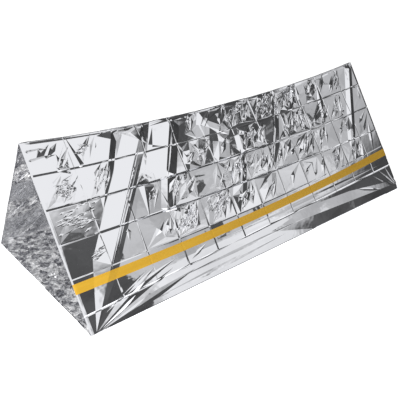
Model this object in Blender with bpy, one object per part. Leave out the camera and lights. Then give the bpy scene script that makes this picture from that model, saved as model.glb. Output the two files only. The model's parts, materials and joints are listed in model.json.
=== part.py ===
"""Emergency tent: an open-ended tube of aluminised film, pitched as a triangular prism.

One sheet of film makes the floor and both walls. Its long edges are lapped low on the front
wall and closed with a strip of tape. X runs along the ridge, the taped wall faces -Y and the
floor lies on Z = 0. The film's panels turn against each other along the hems, along one pack
crease in each wall and along the ridge, so the tent folds flat when its ridge is let down.
"""

import math
import random
from collections import namedtuple

import bpy
from mathutils import Vector
from mathutils.geometry import delaunay_2d_cdt, intersect_point_line

# The pitched tent
LENGTH = 2.40
FLOOR_WIDTH = 1.04
RIDGE_HEIGHT = 0.78
RIDGE_SAG = 0.066
SAG_SHAPE = 2.2

# The film and the tape, drawn thicker than they are so that they are solids
FILM = 0.0010
TAPE = 0.0010
LAYER_GAP = 0.0003

# Pack creases: the two that the walls fold on, measured up the wall from its hem, and the grid
# that the packed sheet leaves, with how far the film stands off the grid inside its cells
FRONT_CREASE_UP = 0.160
FOLDED_RIDGE_HEIGHT = 0.080
COLUMN_PITCH = 0.200
ROW_PITCH = 0.167
CELL_RISE = 0.006
CELL_SEED = 11

# Room that each fold line needs between the two panels it joins
HEM_GAP = 0.0008
FLOOR_EDGE_GAP = 0.0015
CREASE_GAP = 0.0004
RIDGE_GAP = 0.0014
CREASE_PIVOT_DEPTH = 0.0045

# Lap and tape on the front wall, measured up the wall from the hem to the tape's middle
TAPE_WIDTH = 0.048
LAP_WIDTH = 0.083
TAPE_UP_NEAR = 0.225
TAPE_UP_FAR = 0.272
TAPE_DIP = 0.026
TAPE_STEPS = 20

# Main folds of the walls. Each point of a route is a distance along the wall from the end that
# the fold is set out from, and a share of the wall's slope up from its hem.
Fold = namedtuple("Fold", "end route height half_width")
FRONT_FOLDS = (
    Fold("near", ((0.636, 0.93), (0.444, 0.62), (0.204, 0.27)), 0.018, 0.065),
    Fold("near", ((0.456, 0.94), (0.324, 0.70), (0.204, 0.47)), 0.010, 0.038),
    Fold("near", ((0.840, 0.92), (0.732, 0.70), (0.624, 0.47)), 0.012, 0.042),
    Fold("near", ((1.224, 0.50), (1.140, 0.41), (1.056, 0.32)), 0.009, 0.036),
    Fold("far", ((0.768, 0.94), (0.888, 0.77), (1.008, 0.61)), 0.013, 0.048),
    Fold("far", ((0.060, 0.94), (0.180, 0.65), (0.312, 0.36)), 0.014, 0.045),
)
BACK_FOLDS = (
    Fold("near", ((0.600, 0.92), (0.396, 0.64), (0.192, 0.33)), 0.014, 0.058),
    Fold("near", ((1.344, 0.93), (1.248, 0.72), (1.152, 0.52)), 0.011, 0.048),
    Fold("far", ((0.552, 0.92), (0.360, 0.64), (0.168, 0.34)), 0.014, 0.058),
)
FOLD_STEPS = 6
CLEAR_OF_LINE = 0.020

# Sizes that follow from the ones above
HALF_WIDTH = FLOOR_WIDTH / 2
HEM_HEIGHT = FILM / 2
SLOPE = math.hypot(HALF_WIDTH, RIDGE_HEIGHT - HEM_HEIGHT)
SLOPE_COS = HALF_WIDTH / SLOPE
SLOPE_SIN = (RIDGE_HEIGHT - HEM_HEIGHT) / SLOPE
FRONT = -1
BACK = 1


def back_crease_up():
    """Height of the back wall's crease up the wall, at which the folded tube closes again.

    Folded flat, both lower panels lie outward on the ground, and the upper panels reach from
    their creases to the let-down ridge.
    """
    front_upper = SLOPE - FRONT_CREASE_UP
    front_reach = math.sqrt(front_upper**2 - FOLDED_RIDGE_HEIGHT**2)
    ridge_to_back_hem = FLOOR_WIDTH + FRONT_CREASE_UP - front_reach
    spare = SLOPE**2 - ridge_to_back_hem**2 - FOLDED_RIDGE_HEIGHT**2
    return spare / (2 * (ridge_to_back_hem + SLOPE))


BACK_CREASE_UP = back_crease_up()
CREASE_UP = {FRONT: FRONT_CREASE_UP, BACK: BACK_CREASE_UP}


def material(name, colour, roughness, metallic):
    made = bpy.data.materials.new(name)
    made.use_nodes = True
    shader = made.node_tree.nodes["Principled BSDF"]
    shader.inputs["Base Color"].default_value = (*colour, 1.0)
    shader.inputs["Roughness"].default_value = roughness
    shader.inputs["Metallic"].default_value = metallic
    made.diffuse_color = (*colour, 1.0)
    return made


def outward(side):
    """Unit normal of a wall, pointing out of the tent."""
    return Vector((0.0, side * SLOPE_SIN, SLOPE_COS))


def ridge_drop(along):
    """How far the ridge hangs below its ends, at a distance along it."""
    from_middle = abs(2 * along / LENGTH - 1)
    return RIDGE_SAG * (1 - from_middle**SAG_SHAPE)


def on_wall(side, along, up):
    """Point in the middle of the film: along from the near end, up the slope from the hem.

    Above its crease the wall runs straight from the crease to the sagged ridge.
    """
    crease = CREASE_UP[side]
    share = max(0.0, (up - crease) / (SLOPE - crease))
    y = side * (HALF_WIDTH - up * SLOPE_COS)
    z = HEM_HEIGHT + up * SLOPE_SIN - share * ridge_drop(along)
    return Vector((along - LENGTH / 2, y, z))


def fold_route(fold):
    """Points along a fold's crest as (along, up, height): the height fades out at both ends."""
    corners = []
    for from_end, share_up in fold.route:
        along = from_end if fold.end == "near" else LENGTH - from_end
        corners.append(Vector((along, share_up * SLOPE)))
    lengths = [(b - a).length for a, b in zip(corners, corners[1:])]
    points = []
    for step in range(FOLD_STEPS + 1):
        left = step / FOLD_STEPS * sum(lengths)
        leg = 0
        while leg < len(lengths) - 1 and left > lengths[leg]:
            left -= lengths[leg]
            leg += 1
        place = corners[leg].lerp(corners[leg + 1], left / lengths[leg])
        height = fold.height * math.sin(math.pi * step / FOLD_STEPS)
        points.append((place.x, place.y, height))
    return points


def fold_sides(fold):
    """The two lines at a fold's feet, which meet its crest at both ends."""
    crest = fold_route(fold)
    feet = ([], [])
    for step, (along, up, _) in enumerate(crest):
        before = Vector(crest[max(step - 1, 0)][:2])
        after = Vector(crest[min(step + 1, FOLD_STEPS)][:2])
        across = (after - before).orthogonal().normalized()
        reach = fold.half_width * math.sin(math.pi * step / FOLD_STEPS)
        for line, sign in zip(feet, (-1, 1)):
            line.append(Vector((along, up)) + sign * reach * across)
    return feet


def relief(folds, along, up):
    """Height of the folds at a point of the wall: each rises straight from its feet."""
    place = Vector((along, up, 0.0))
    highest = 0.0
    for fold in folds:
        crest = fold_route(fold)
        for a, b in zip(crest, crest[1:]):
            _, share = intersect_point_line(place, (a[0], a[1], 0.0), (b[0], b[1], 0.0))
            share = min(max(share, 0.0), 1.0)
            height = a[2] + share * (b[2] - a[2])
            nearest = Vector((a[0], a[1], 0.0)).lerp(Vector((b[0], b[1], 0.0)), share)
            reach = fold.half_width * height / fold.height
            if reach > 0:
                away = (place - nearest).length / reach
                highest = max(highest, height * (1 - away))
    return highest


class Pattern:
    """A flat pattern of a panel: points with lines between them, which stay as edges."""

    def __init__(self):
        self.points = []
        self.lines = []

    def add_line(self, route):
        first = len(self.points)
        self.points += [Vector(point) for point in route]
        self.lines += [(i, i + 1) for i in range(first, len(self.points) - 1)]

    def add_point(self, point, clear):
        """A point by itself, left out where it would crowd a line."""
        if all((Vector(point) - other).length > clear for other in self.points):
            self.points.append(Vector(point))

    def triangles(self):
        """Points and triangles of the filled pattern."""
        smallest = LAYER_GAP / 10
        points, _, faces, *_ = delaunay_2d_cdt(self.points, self.lines, [], 0, smallest)
        return points, faces


def stations(steps):
    return [LENGTH * step / steps for step in range(steps + 1)]


def tape_up(along):
    """Height of the tape's middle up the front wall: it rises to the far end and sags."""
    share = along / LENGTH
    straight = TAPE_UP_NEAR + share * (TAPE_UP_FAR - TAPE_UP_NEAR)
    return straight - TAPE_DIP * math.sin(math.pi * share)


def crease_rows(low, high):
    """Heights of the crease rows of a panel, counted down from its top edge."""
    rows = [high]
    while rows[-1] - ROW_PITCH > low + ROW_PITCH / 2:
        rows.append(rows[-1] - ROW_PITCH)
    return [low] + rows[::-1]


class Cells:
    """The grid of pack creases on a panel: the film stands off it inside each cell."""

    def __init__(self, low, high, least, most, seed):
        self.columns = stations(max(2, round(LENGTH / COLUMN_PITCH)))
        self.rows = crease_rows(low, high)
        chance = random.Random(seed)
        self.rises = [[chance.uniform(least, most) for _ in self.columns[1:]] for _ in self.rows[1:]]

    def rise(self, along, up):
        """Height off the grid: it rises straight from a cell's creases to its middle."""
        column = cell_number(self.columns, along)
        row = cell_number(self.rows, up)
        off_middle = max(
            abs(2 * share_between(self.columns, column, along) - 1),
            abs(2 * share_between(self.rows, row, up) - 1),
        )
        return self.rises[row][column] * max(0.0, 1 - off_middle)


def cell_number(creases, place):
    """Which of the cells between the creases holds a place."""
    inner = creases[1:-1]
    return sum(place > crease for crease in inner)


def share_between(creases, cell, place):
    return (place - creases[cell]) / (creases[cell + 1] - creases[cell])


def wall_pattern(cells, folds, seam):
    """Pattern of a wall panel: its crease grid, its folds and, on the front, the seam's edges."""
    pattern = Pattern()
    for up in cells.rows:
        pattern.add_line([(along, up) for along in cells.columns])
    for along in cells.columns:
        pattern.add_line([(along, up) for up in cells.rows])
    if seam:
        for width in (-LAP_WIDTH, -TAPE_WIDTH, TAPE_WIDTH, LAP_WIDTH):
            steps = stations(TAPE_STEPS)
            pattern.add_line([(along, tape_up(along) + width / 2) for along in steps])
    for fold in folds:
        pattern.add_line([point[:2] for point in fold_route(fold)])
        for line in fold_sides(fold):
            pattern.add_line(line)
    for left, right in zip(cells.columns, cells.columns[1:]):
        for below, above in zip(cells.rows, cells.rows[1:]):
            pattern.add_point(((left + right) / 2, (below + above) / 2), CLEAR_OF_LINE)
    return pattern


def closed_sheet(points, faces, thickness, through):
    """Corners and faces of a sheet thickened evenly to both sides, in the direction through."""
    count = len(points)
    half = through * thickness / 2
    corners = [point + half for point in points] + [point - half for point in points]
    skins = [tuple(face) for face in faces]
    skins += [tuple(corner + count for corner in reversed(face)) for face in faces]
    edges = {edge for face in faces for edge in zip(face, face[1:] + face[:1])}
    rim = [(b, a, a + count, b + count) for a, b in edges if (b, a) not in edges]
    return corners, skins + sorted(rim)


def object_from(name, points, faces, thickness, through, origin, parent, look):
    """Object made of a thickened sheet, with its own origin."""
    used = sorted({corner for face in faces for corner in face})
    place = {old: new for new, old in enumerate(used)}
    sheet = [tuple(place[corner] for corner in face) for face in faces]
    corners, skins = closed_sheet([points[i] - origin for i in used], sheet, thickness, through)
    mesh = bpy.data.meshes.new(name)
    mesh.from_pydata(corners, [], skins)
    mesh.materials.append(look)
    made = bpy.data.objects.new(name, mesh)
    bpy.context.scene.collection.objects.link(made)
    made.parent = parent
    made.location = origin - parent_origin(parent)
    return made


def parent_origin(made):
    """World place of an object's origin, through its parents, or of the world with no object."""
    place = Vector((0.0, 0.0, 0.0))
    while made:
        place += made.location
        made = made.parent
    return place


def facing_out(points, faces, side):
    """The same faces, each turned so that it faces out of the tent."""
    turned = []
    for a, b, c in faces:
        normal = (points[b] - points[a]).cross(points[c] - points[a])
        turned.append((a, b, c) if normal.dot(outward(side)) > 0 else (a, c, b))
    return turned


Panel = namedtuple("Panel", "made flat points faces")


def wall_panel(name, side, low, high, cells, folds, seam, origin, parent, look):
    """Panel of a wall between two heights up its slope."""
    flat, faces = wall_pattern(cells, folds, seam).triangles()
    points = []
    for along, up in flat:
        stands_off = cells.rise(along, up) + relief(folds, along, up)
        points.append(on_wall(side, along, up) + stands_off * outward(side))
    faces = facing_out(points, faces, side)
    made = object_from(name, points, faces, FILM, outward(side), origin, parent, look)
    return Panel(made, flat, points, faces)


def lower_panel(name, side, seed, origin, parent, look):
    """Panel between a hem and the wall's pack crease.

    It ends up face down on the ground, so its film stands off the creases to the inside only.
    """
    low = HEM_GAP
    high = CREASE_UP[side] - CREASE_GAP
    cells = Cells(low, high, -CELL_RISE, 0.0, seed)
    return wall_panel(name, side, low, high, cells, (), False, origin, parent, look)


def upper_panel(name, side, seed, folds, seam, origin, parent, look):
    """Panel between the pack crease and the ridge."""
    low = CREASE_UP[side] + CREASE_GAP
    high = SLOPE - RIDGE_GAP
    cells = Cells(low, high, -CELL_RISE, CELL_RISE, seed)
    return wall_panel(name, side, low, high, cells, folds, seam, origin, parent, look)


def seam_layer(name, width, lift, thickness, front, look, origin):
    """Strip along the seam that lies on the front wall, over the same folds."""
    inside = []
    for face in front.faces:
        along = sum(front.flat[i].x for i in face) / 3
        up = sum(front.flat[i].y for i in face) / 3
        if abs(up - tape_up_between_steps(along)) < width / 2:
            inside.append(face)
    layer = [point + lift * outward(FRONT) for point in front.points]
    return object_from(name, layer, inside, thickness, outward(FRONT), origin, front.made, look)


def tape_up_between_steps(along):
    """Height of the tape's middle on the straight lines between its stations."""
    step = min(int(along / LENGTH * TAPE_STEPS), TAPE_STEPS - 1)
    before, after = stations(TAPE_STEPS)[step:step + 2]
    share = (along - before) / (after - before)
    return tape_up(before) + share * (tape_up(after) - tape_up(before))


def floor_panel(look):
    """Flat floor panel, which the whole tent stands on."""
    reach = HALF_WIDTH - FLOOR_EDGE_GAP
    corners = [(-LENGTH / 2, -reach), (LENGTH / 2, -reach), (LENGTH / 2, reach), (-LENGTH / 2, reach)]
    points = [Vector((x, y, HEM_HEIGHT)) for x, y in corners]
    up = Vector((0.0, 0.0, 1.0))
    origin = Vector((0.0, 0.0, 0.0))
    return object_from("floor_panel", points, [(0, 1, 2, 3)], FILM, up, origin, None, look)


def crease_pivot(side):
    """Point on the axis of a wall's crease, which lies just inside the film."""
    return on_wall(side, LENGTH / 2, CREASE_UP[side]) - CREASE_PIVOT_DEPTH * outward(side)


def build():
    silver = (0.78, 0.79, 0.82)
    yellow = (0.80, 0.45, 0.05)
    film = {
        name: material(name, silver, 0.15, 1.0)
        for name in ("floor_film", "back_lower_film", "back_upper_film", "front_upper_film",
                     "front_lower_film", "lap_film")
    }
    tape = material("yellow_tape", yellow, 0.40, 0.0)

    back_hem = Vector((0.0, HALF_WIDTH, HEM_HEIGHT))
    ridge = Vector((0.0, 0.0, RIDGE_HEIGHT))
    front_crease = crease_pivot(FRONT)
    back_crease = crease_pivot(BACK)

    floor = floor_panel(film["floor_film"])
    back_lower = lower_panel(
        "back_wall_lower", BACK, CELL_SEED, back_hem, floor, film["back_lower_film"]
    )
    back_upper = upper_panel(
        "back_wall_upper", BACK, CELL_SEED + 1, BACK_FOLDS, False,
        back_crease, back_lower.made, film["back_upper_film"],
    )
    front = upper_panel(
        "front_wall_upper", FRONT, CELL_SEED + 2, FRONT_FOLDS, True,
        ridge, back_upper.made, film["front_upper_film"],
    )
    lower_panel(
        "front_wall_lower", FRONT, CELL_SEED + 3, front_crease, front.made, film["front_lower_film"]
    )

    lap_lift = FILM + LAYER_GAP
    tape_lift = lap_lift + FILM / 2 + LAYER_GAP + TAPE / 2
    seam_layer("seam_lap", LAP_WIDTH, lap_lift, FILM, front, film["lap_film"], ridge)
    seam_layer("seam_tape", TAPE_WIDTH, tape_lift, TAPE, front, tape, ridge)


for old in list(bpy.data.objects):
    bpy.data.objects.remove(old)
build()
bpy.context.view_layer.update()
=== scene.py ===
"""Emergency tent: the looks of a pitched tube of aluminised film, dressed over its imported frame."""

import json
import math

import bpy
import numpy as np
from mathutils.geometry import delaunay_2d_cdt
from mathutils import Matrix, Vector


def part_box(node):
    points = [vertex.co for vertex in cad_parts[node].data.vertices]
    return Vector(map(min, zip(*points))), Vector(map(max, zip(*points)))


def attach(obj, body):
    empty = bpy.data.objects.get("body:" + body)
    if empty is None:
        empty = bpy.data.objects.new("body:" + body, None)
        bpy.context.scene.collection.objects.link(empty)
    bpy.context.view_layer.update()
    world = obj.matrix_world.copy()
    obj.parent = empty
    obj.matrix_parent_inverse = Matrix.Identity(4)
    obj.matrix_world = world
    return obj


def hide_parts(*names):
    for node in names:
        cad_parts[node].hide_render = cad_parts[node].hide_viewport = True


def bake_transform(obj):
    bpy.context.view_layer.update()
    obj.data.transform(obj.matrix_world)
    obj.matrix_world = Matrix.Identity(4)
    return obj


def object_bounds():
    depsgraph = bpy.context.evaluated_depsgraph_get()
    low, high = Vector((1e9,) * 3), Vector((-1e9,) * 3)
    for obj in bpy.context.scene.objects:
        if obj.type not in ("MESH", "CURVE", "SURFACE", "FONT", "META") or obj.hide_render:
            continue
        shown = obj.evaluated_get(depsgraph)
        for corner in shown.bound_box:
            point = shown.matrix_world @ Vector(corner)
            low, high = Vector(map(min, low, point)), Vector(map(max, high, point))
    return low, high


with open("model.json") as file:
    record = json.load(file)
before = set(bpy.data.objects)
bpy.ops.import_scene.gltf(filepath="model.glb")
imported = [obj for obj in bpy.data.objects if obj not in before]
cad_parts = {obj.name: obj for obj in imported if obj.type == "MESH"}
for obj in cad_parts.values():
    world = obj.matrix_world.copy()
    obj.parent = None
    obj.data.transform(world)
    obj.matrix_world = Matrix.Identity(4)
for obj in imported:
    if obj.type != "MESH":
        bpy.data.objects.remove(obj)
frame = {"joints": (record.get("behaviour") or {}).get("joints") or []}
cad_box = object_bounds()


# Camera, floor and light.
# The camera stands off the near left corner, as high as a standing person's eyes. The floor
# and the room are white, and grey and black cards outside the picture give the film its tones.


def srgb(code):
    """Linear colour of an sRGB hex value."""
    parts = [int(code[i:i + 2], 16) / 255 for i in (1, 3, 5)]
    linear = [c / 12.92 if c <= 0.04045 else ((c + 0.055) / 1.055) ** 2.4 for c in parts]
    return (*linear, 1.0)


def add_node(tree, kind, inputs=None, **settings):
    """A new node with its settings; each input is a value, or a socket to link from."""
    made = tree.nodes.new(kind)
    for name, value in settings.items():
        setattr(made, name, value)
    for key, value in (inputs or {}).items():
        if isinstance(value, bpy.types.NodeSocket):
            tree.links.new(value, made.inputs[key])
        else:
            made.inputs[key].default_value = value
    return made


def seen_straight(tree):
    """1 for what the camera sees by itself, in a mirror or through glass, and 0 otherwise."""
    path = add_node(tree, "ShaderNodeLightPath").outputs
    straight = add_node(
        tree, "ShaderNodeMath", {0: path["Is Camera Ray"], 1: path["Is Glossy Ray"]},
        operation="MAXIMUM",
    )
    straight = add_node(
        tree, "ShaderNodeMath", {0: straight.outputs[0], 1: path["Is Transmission Ray"]},
        operation="MAXIMUM",
    )
    return straight.outputs[0]


def new_material(name):
    """An empty node material and its tree."""
    made = bpy.data.materials.new(name)
    made.use_nodes = True
    made.node_tree.nodes.clear()
    return made, made.node_tree


def place_in_scene(name, data):
    """A new object of the scene."""
    made = bpy.data.objects.new(name, data)
    bpy.context.scene.collection.objects.link(made)
    return made


CAMERA_PLACE = (-2.0864, -2.3607, 1.7076)
CAMERA_DOWN = 27.09
CAMERA_BEARING = 50.53
camera_data = bpy.data.cameras.new("camera")
camera_data.lens = 51.0
camera_data.sensor_width = 36.0
camera = place_in_scene("camera", camera_data)
camera.location = CAMERA_PLACE
camera.rotation_euler = (
    math.radians(90 - CAMERA_DOWN), 0.0, math.radians(CAMERA_BEARING - 90)
)
bpy.context.scene.camera = camera
bpy.context.scene.view_settings.view_transform = "Standard"

ROOM_LIGHT = 0.30
room = bpy.data.worlds.new("white_room")
room.use_nodes = True
room.node_tree.nodes.clear()
bpy.context.scene.world = room
strength = add_node(
    room.node_tree, "ShaderNodeMapRange",
    {"Value": seen_straight(room.node_tree), "To Min": ROOM_LIGHT, "To Max": 1.0},
)
backdrop = add_node(
    room.node_tree, "ShaderNodeBackground",
    {"Color": srgb("#ffffff"), "Strength": strength.outputs[0]},
)
add_node(room.node_tree, "ShaderNodeOutputWorld", {"Surface": backdrop.outputs[0]})

# White painted floor. It keeps the tent's shadow, and glows where it is seen straight.
FLOOR_REACH = 40.0
FLOOR_DOWN = 0.001
FLOOR_GLOW = 0.80
floor_mesh = bpy.data.meshes.new("studio_floor")
floor_mesh.from_pydata(
    [
        (x * FLOOR_REACH, y * FLOOR_REACH, -FLOOR_DOWN)
        for x, y in ((-1, -1), (1, -1), (1, 1), (-1, 1))
    ],
    [], [(0, 1, 2, 3)],
)
studio_floor = place_in_scene("studio_floor", floor_mesh)
floor_paint, tree = new_material("white_studio_floor")
paint = add_node(
    tree, "ShaderNodeBsdfPrincipled", {"Base Color": srgb("#fafafa"), "Roughness": 0.9}
)
glow = add_node(
    tree, "ShaderNodeMath", {0: seen_straight(tree), 1: FLOOR_GLOW}, operation="MULTIPLY"
)
glowing = add_node(
    tree, "ShaderNodeEmission", {"Color": srgb("#ffffff"), "Strength": glow.outputs[0]}
)
painted = add_node(tree, "ShaderNodeAddShader", {0: paint.outputs[0], 1: glowing.outputs[0]})
add_node(tree, "ShaderNodeOutputMaterial", {"Surface": painted.outputs[0]})
floor_paint.cycles.emission_sampling = "NONE"
floor_mesh.materials.append(floor_paint)


def soft_lamp(name, size, power, place, tilt, bearing):
    """A rectangular lamp, turned by a tilt and a bearing in degrees."""
    lamp_data = bpy.data.lights.new(name, "AREA")
    lamp_data.shape = "RECTANGLE"
    lamp_data.size, lamp_data.size_y = size
    lamp_data.energy = power
    lamp = place_in_scene(name, lamp_data)
    lamp.location = place
    lamp.rotation_euler = (math.radians(tilt), 0.0, math.radians(bearing))
    return lamp


# The softbox above the near left corner lights the tape and the floor, and the film doesn't
# mirror it. The fill in front of the near end lights the inside of the tube.
softbox = soft_lamp("softbox", (1.6, 1.2), 62.0, (-2.5, -2.1, 2.1), 50, -38)
softbox.visible_glossy = False
soft_lamp("fill", (1.0, 1.0), 33.0, (-3.6, -0.5, 0.9), 82, -84)

# Cards that only reflections see: each runs from one bearing to another, from a lowest height
# to its top at either end, all in degrees seen from the tent, and shows one grey with soft
# edges. A bearing of 0 is along +X, and -90 is straight out of the front wall. Each card has a
# twin before the back wall, and the end card stands alone before the near end.
CARD_DISTANCE = 14.0
CARD_GAP = 0.05
CARDS = (
    (-86.0, -56.0, -4.0, 38.5, 38.0, 0.085),
    (-58.0, -18.0, 11.0, 33.0, 37.0, 0.53),
    (-60.0, -40.0, -4.0, 12.5, 14.5, 0.09),
    (-42.0, -16.0, -4.0, 21.0, 24.0, 0.08),
    (-17.0, 30.0, -4.0, 30.0, 30.0, 0.05),
    (-50.5, -45.5, 37.0, 52.0, 52.0, 0.60),
    (-46.5, -14.0, 35.5, 56.0, 56.0, 0.07),
    (-60.5, -55.5, 18.0, 36.0, 36.0, 0.52),
    (-66.5, -59.0, 17.5, 33.5, 33.5, 0.60),
    (-55.0, -52.0, 32.5, 38.5, 38.5, 0.07),
    (-53.5, -49.0, 34.5, 37.0, 37.0, 1.00),
    (-53.0, -50.5, 27.6, 29.5, 29.5, 0.08),
    (-48.0, -42.0, 35.0, 37.5, 37.5, 0.08),
    (-43.5, -34.8, 31.0, 37.5, 37.5, 0.08),
    (-46.5, -45.5, 26.0, 32.0, 32.0, 0.07),
    (-44.9, -44.2, 28.5, 36.0, 36.0, 0.80),
    (-42.0, -37.0, 29.0, 34.2, 34.2, 0.85),
    (-36.5, -35.5, 26.5, 31.5, 31.5, 0.07),
    (-30.5, -25.5, 22.0, 36.0, 36.0, 0.06),
    (-22.5, -20.0, 18.0, 30.0, 30.0, 0.90),
    (-66.0, -45.0, 16.5, 26.0, 26.6, 0.95),
    (-46.5, -36.0, 21.0, 26.0, 26.0, 0.74),
    (-110.0, -14.0, 56.0, 88.0, 88.0, 0.10),
    (-15.0, 1.0, 42.0, 88.0, 88.0, 0.10),
    (-150.0, -125.0, 4.0, 60.0, 50.0, 0.12),
)
END_CARD = (165.0, 195.0, 0.0, 34.0, 34.0, 0.08)
CARD_STEPS = (16, 8)
CARD_BLOTCHES_PER_METRE = 0.9


def card(number, left, right, low, left_top, right_top, grey):
    """A card bent round the tent, nearer the higher its number, in blotches round one grey.

    The blotches of a dark card differ more, as a share of its grey, than those of a pale one.
    """
    corners, faces, inner = [], [], []
    for i in range(CARD_STEPS[0] + 1):
        share = i / CARD_STEPS[0]
        angle = math.radians(left + (right - left) * share)
        top = left_top + (right_top - left_top) * share
        for j in range(CARD_STEPS[1] + 1):
            height = math.radians(low + (top - low) * j / CARD_STEPS[1])
            away = CARD_DISTANCE - CARD_GAP * number
            level = away * math.cos(height)
            corners.append(
                (level * math.cos(angle), level * math.sin(angle), away * math.sin(height))
            )
            if i and j:
                here = len(corners) - 1
                beside = here - CARD_STEPS[1] - 1
                faces.append((beside - 1, here - 1, here, beside))
            inner.append(0 < i < CARD_STEPS[0] and 0 < j < CARD_STEPS[1])
    mesh = bpy.data.meshes.new(f"card_{number}")
    mesh.from_pydata(corners, [], faces)
    mesh.attributes.new("inner", "FLOAT", "POINT").data.foreach_set("value", inner)
    made = place_in_scene(f"card_{number}", mesh)
    look, tree = new_material(f"card_grey_{number}")
    place = add_node(tree, "ShaderNodeTexCoord").outputs["Object"]
    uneven = add_node(
        tree, "ShaderNodeTexNoise",
        {"Vector": place, "Scale": CARD_BLOTCHES_PER_METRE, "Detail": 6.0},
    )
    tone = add_node(
        tree, "ShaderNodeMapRange",
        {"Value": uneven.outputs[0], "From Min": 0.3, "From Max": 0.7,
         "To Min": grey * (0.7 + 0.2 * grey), "To Max": min(1.0, grey * (1.4 - 0.3 * grey))},
    )
    shown = add_node(tree, "ShaderNodeEmission", {"Strength": tone.outputs[0]})
    clear = add_node(tree, "ShaderNodeBsdfTransparent")
    inside = add_node(tree, "ShaderNodeAttribute", attribute_name="inner").outputs["Fac"]
    soft = add_node(
        tree, "ShaderNodeMixShader", {0: inside, 1: clear.outputs[0], 2: shown.outputs[0]}
    )
    add_node(tree, "ShaderNodeOutputMaterial", {"Surface": soft.outputs[0]})
    look.cycles.emission_sampling = "NONE"
    mesh.materials.append(look)
    for kind in ("camera", "diffuse", "shadow", "transmission"):
        setattr(made, f"visible_{kind}", False)


for number, (left, right, *rest) in enumerate(CARDS):
    card(2 * number, left, right, *rest)
    card(2 * number + 1, -left, -right, *rest)
card(2 * len(CARDS), *END_CARD)


# Film sheet.
# The tent is one sheet of aluminised polyester film, bent into a tube. The film is 0.02 mm thick
# and drawn 0.8 mm thick. A place on the sheet is a distance along the ridge and a distance round
# the tube from the ridge, which is negative down the front wall.

LENGTH = cad_box[1].x - cad_box[0].x
HALF_WIDTH = (cad_box[1].y - cad_box[0].y) / 2
FILM_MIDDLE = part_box("floor_panel")[1].z / 2
RIDGE = next(j["pos_m"][2] for j in frame["joints"] if j["name"] == "ridge")
SLOPE = math.hypot(HALF_WIDTH, RIDGE - FILM_MIDDLE)
SLOPE_SIN = (RIDGE - FILM_MIDDLE) / SLOPE
SLOPE_COS = HALF_WIDTH / SLOPE
ROUND_FLOOR = SLOPE + 2 * HALF_WIDTH
FRONT_CREASE_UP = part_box("front_wall_lower")[1].z / SLOPE_SIN
BACK_CREASE_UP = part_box("back_wall_lower")[1].z / SLOPE_SIN
FILM_DRAWN = 0.0008
RIDGE_SAG = 0.066
SAG_SHAPE = 2.2
BEND_RADIUS = 0.008
BEND_SAMPLES = 9
# The tube's corners: distance round from the ridge, then y and z.
CORNERS = (
    (-SLOPE - 2 * HALF_WIDTH, HALF_WIDTH, FILM_MIDDLE),
    (-SLOPE, -HALF_WIDTH, FILM_MIDDLE),
    (0.0, 0.0, RIDGE),
    (SLOPE, HALF_WIDTH, FILM_MIDDLE),
    (ROUND_FLOOR, -HALF_WIDTH, FILM_MIDDLE),
    (ROUND_FLOOR + SLOPE, 0.0, RIDGE),
)


def sag_share(around):
    """Share of the ridge's sag at a place round the tube: none below the pack creases."""
    front = 1 + around / (SLOPE - FRONT_CREASE_UP)
    back = 1 - around / (SLOPE - BACK_CREASE_UP)
    return np.clip(np.minimum(front, back), 0, 1)


def film_place(along, around):
    """Points of the tube with its bends rounded, and the directions that point out of it."""
    drop = RIDGE_SAG * (1 - np.abs(2 * along / LENGTH - 1) ** SAG_SHAPE)
    knots, ys, zs = np.array(CORNERS).T
    y, z = np.zeros_like(along), np.zeros_like(along)
    out_y, out_z = np.zeros_like(along), np.zeros_like(along)
    for shift in np.linspace(-BEND_RADIUS, BEND_RADIUS, BEND_SAMPLES):
        near = around + shift
        y += np.interp(near, knots, ys) / BEND_SAMPLES
        z += (np.interp(near, knots, zs) - drop * sag_share(near)) / BEND_SAMPLES
        on_floor = (near < -SLOPE) | ((near > SLOPE) & (near < ROUND_FLOOR))
        front = (near < 0) | (near > ROUND_FLOOR)
        out_y += np.where(on_floor, 0.0, np.where(front, -SLOPE_SIN, SLOPE_SIN))
        out_z += np.where(on_floor, -1.0, SLOPE_COS)
    size = np.hypot(out_y, out_z)
    out = np.column_stack([np.zeros_like(along), out_y / size, out_z / size])
    points = np.column_stack([along - LENGTH / 2, y, z])
    return points, out


# The film was packed folded, so a grid of creases crosses it, and inside the cells it is crumpled
# into flat facets with sharp edges. One flat pattern of creases is drawn for the whole sheet,
# and each piece takes its part of it.
COLUMN_PITCH = 0.200
COLUMN_START = 0.015
ROW_PITCH = 0.167
COLUMN_LINES = [0.0, *(COLUMN_START + COLUMN_PITCH * n for n in range(1, 12)), LENGTH]
WALL_ROWS = [ROW_PITCH * n for n in range(-4, 6)]
FLOOR_ROWS = [ROW_PITCH * n for n in range(6, 12)]

# The seam: the sheet's two long edges lap low on the front wall, the upper edge outside, and
# tape runs along the lap. Below it the film has one long crease that rises to the far end.
TAPE_WIDTH = 0.048
LAP_WIDTH = 0.083
TAPE_UP_NEAR = 0.225
TAPE_UP_FAR = 0.272
TAPE_DIP = 0.026
SEAM_STEPS = 24
LOW_CREASE_NEAR = 0.0945
LOW_CREASE_FAR = 0.176
LAP_LIFT = 0.0013
LAP_STEP = 0.006

seam_along = np.linspace(0.0, LENGTH, SEAM_STEPS + 1)
tape_up = (
    TAPE_UP_NEAR + seam_along / LENGTH * (TAPE_UP_FAR - TAPE_UP_NEAR)
    - TAPE_DIP * np.sin(math.pi * seam_along / LENGTH)
)
tape_middle = tape_up - SLOPE


def tape_line(along, above):
    """Place round the tube of a line that runs above the tape's middle by a set distance."""
    return np.interp(along, seam_along, tape_middle) + above


def low_crease(along):
    """Place round the tube of the long crease below the seam."""
    share = along / LENGTH
    return LOW_CREASE_NEAR + share * (LOW_CREASE_FAR - LOW_CREASE_NEAR) - SLOPE


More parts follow.
